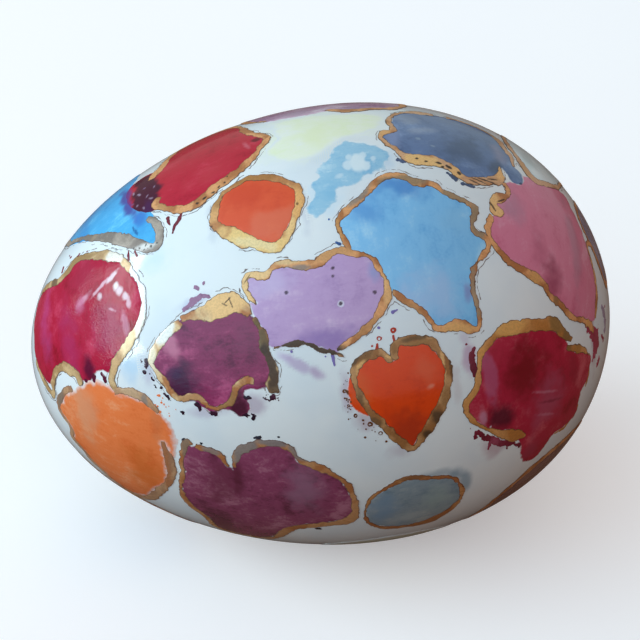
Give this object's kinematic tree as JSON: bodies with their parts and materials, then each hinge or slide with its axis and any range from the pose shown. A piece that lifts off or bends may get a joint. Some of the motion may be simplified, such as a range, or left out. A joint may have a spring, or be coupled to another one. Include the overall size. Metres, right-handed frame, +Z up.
{
  "type": "decorated porcelain egg",
  "caption": "Hollow porcelain egg lying on its side, glazed white, with flower-like enamel fields bounded by raised gold lines; an ornament to set on a shelf or table",
  "frame": {"origin": "middle of the footprint, on the surface the egg rests on", "axes": "+X from the pointed end to the blunt end, +Y to the back of the egg, +Z up; the long axis leans 6 degrees, blunt end high"},
  "size_m": [0.0798, 0.0607, 0.0598],
  "materials": {
    "bisque_porcelain": "unglazed white porcelain, fine and matt",
    "clear_glaze": "glossy, faintly bluish white glaze",
    "gold_lustre": "brushed-on gold lustre, burnished, with small dark pits",
    "enamel_amber": "glossy amber overglaze enamel, streaked and mottled by the brush",
    "enamel_azure": "glossy azure overglaze enamel, streaked and mottled by the brush",
    "enamel_bud": "glossy bud overglaze enamel, streaked and mottled by the brush",
    "enamel_cerulean": "glossy cerulean overglaze enamel, streaked and mottled by the brush",
    "enamel_crimson": "glossy crimson overglaze enamel, streaked and mottled by the brush",
    "enamel_heart": "glossy heart overglaze enamel, streaked and mottled by the brush",
    "enamel_lemon": "glossy lemon overglaze enamel, streaked and mottled by the brush",
    "enamel_lilac": "glossy lilac overglaze enamel, streaked and mottled by the brush",
    "enamel_mauve": "glossy mauve overglaze enamel, streaked and mottled by the brush",
    "enamel_orange": "glossy orange overglaze enamel, streaked and mottled by the brush",
    "enamel_plum": "glossy plum overglaze enamel, streaked and mottled by the brush",
    "enamel_rose": "glossy rose overglaze enamel, streaked and mottled by the brush",
    "enamel_ruby": "glossy ruby overglaze enamel, streaked and mottled by the brush",
    "enamel_seafoam": "glossy seafoam overglaze enamel, streaked and mottled by the brush",
    "enamel_sky": "glossy sky overglaze enamel, streaked and mottled by the brush",
    "enamel_slate": "glossy slate overglaze enamel, streaked and mottled by the brush",
    "enamel_tangerine": "glossy tangerine overglaze enamel, streaked and mottled by the brush",
    "enamel_teal": "glossy teal overglaze enamel, streaked and mottled by the brush",
    "enamel_turquoise": "glossy turquoise overglaze enamel, streaked and mottled by the brush",
    "enamel_violet": "glossy violet overglaze enamel, streaked and mottled by the brush"
  },
  "bodies": {
    "root": {"enamel_amber_back": "enamel_amber", "enamel_azure_back": "enamel_azure", "enamel_azure_under": "enamel_azure", "enamel_bud": "enamel_bud", "enamel_cerulean": "enamel_cerulean", "enamel_crimson": "enamel_crimson", "enamel_crimson_back": "enamel_crimson", "enamel_heart": "enamel_heart", "enamel_lemon_under": "enamel_lemon", "enamel_lemon_wash": "enamel_lemon", "enamel_lilac": "enamel_lilac", "enamel_lilac_back": "enamel_lilac", "enamel_mauve": "enamel_mauve", "enamel_orange_back": "enamel_orange", "enamel_plum": "enamel_plum", "enamel_plum_back": "enamel_plum", "enamel_plum_belly": "enamel_plum", "enamel_plum_under": "enamel_plum", "enamel_rose": "enamel_rose", "enamel_rose_under": "enamel_rose", "enamel_ruby_back": "enamel_ruby", "enamel_ruby_blunt": "enamel_ruby", "enamel_ruby_tip": "enamel_ruby", "enamel_seafoam": "enamel_seafoam", "enamel_sky": "enamel_sky", "enamel_sky_back": "enamel_sky", "enamel_slate": "enamel_slate", "enamel_tangerine": "enamel_tangerine", "enamel_teal_back": "enamel_teal", "enamel_teal_oval": "enamel_teal", "enamel_turquoise_wash": "enamel_turquoise", "enamel_violet_end": "enamel_violet", "glaze_coat": "clear_glaze", "gold_amber_back": "gold_lustre", "gold_azure_back": "gold_lustre", "gold_azure_under": "gold_lustre", "gold_back_tip": "gold_lustre", "gold_bud": "gold_lustre", "gold_cerulean": "gold_lustre", "gold_crimson": "gold_lustre", "gold_crimson_back": "gold_lustre", "gold_heart": "gold_lustre", "gold_lilac_back": "gold_lustre", "gold_lilac_sky": "gold_lustre", "gold_mauve": "gold_lustre", "gold_orange_back": "gold_lustre", "gold_plum": "gold_lustre", "gold_plum_back": "gold_lustre", "gold_plum_belly": "gold_lustre", "gold_plum_under": "gold_lustre", "gold_rose": "gold_lustre", "gold_rose_under": "gold_lustre", "gold_ruby_blunt": "gold_lustre", "gold_ruby_tip": "gold_lustre", "gold_slate_seafoam": "gold_lustre", "gold_tangerine": "gold_lustre", "gold_teal_back": "gold_lustre", "gold_teal_oval": "gold_lustre", "gold_violet_end": "gold_lustre", "porcelain_body": "bisque_porcelain"}
  },
  "joints": []
}
